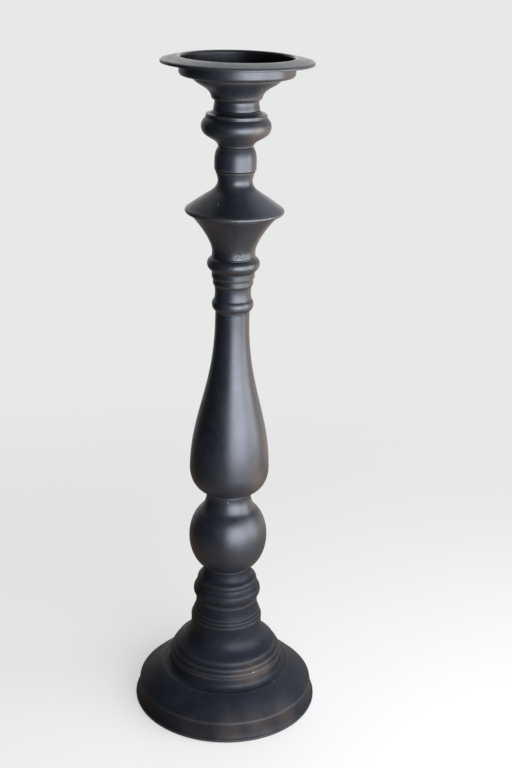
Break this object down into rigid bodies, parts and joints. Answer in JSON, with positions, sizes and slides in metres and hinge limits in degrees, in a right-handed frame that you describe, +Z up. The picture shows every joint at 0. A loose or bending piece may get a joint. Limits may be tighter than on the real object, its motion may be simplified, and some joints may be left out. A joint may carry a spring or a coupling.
{
  "type": "pillar candle holder",
  "caption": "Tall turned pillar candle holder: wide-brimmed candle pan on a stacked baluster stem with beads, drip disc and vase swell, on a stepped round weighted base, satin black metal.",
  "frame": {"origin": "on the stem's axis, at the level of the surface the foot stands on", "axes": "+Z up along the stem, from the foot to the candle pan; X and Y are any two horizontal directions, because the object is round"},
  "size_m": [0.1374, 0.1374, 0.482],
  "materials": {
    "black_coat": "satin black powder coat",
    "black_plate": "thin black dip coat",
    "pressed_steel": "plain pressed steel",
    "zinc_steel": "zinc plated",
    "cast_weight": "rough casting",
    "felt": "black felt"
  },
  "bodies": {
    "root": {"ball_shell": "black_coat", "barrel_sleeve": "black_coat", "base_plate": "black_plate", "base_shell": "black_coat", "base_skirt": "black_coat", "base_weight": "cast_weight", "bead_collar": "black_coat", "candle_pan": "black_coat", "cap_nut": "black_coat", "centring_bush_1": "pressed_steel", "centring_bush_2": "pressed_steel", "centring_bush_3": "pressed_steel", "centring_bush_4": "pressed_steel", "centring_bush_5": "pressed_steel", "centring_bush_6": "pressed_steel", "centring_bush_7": "pressed_steel", "centring_bush_8": "pressed_steel", "centring_bush_9": "pressed_steel", "drip_disc_cone": "black_coat", "drip_disc_top": "black_coat", "felt_pad": "felt", "lock_washer": "zinc_steel", "lower_nut": "zinc_steel", "lower_washer": "zinc_steel", "pan_funnel": "black_coat", "pan_washer": "black_coat", "ring_collar": "black_coat", "tie_rod": "zinc_steel", "upper_knop": "black_coat", "vase_shell": "black_coat"}
  },
  "joints": []
}
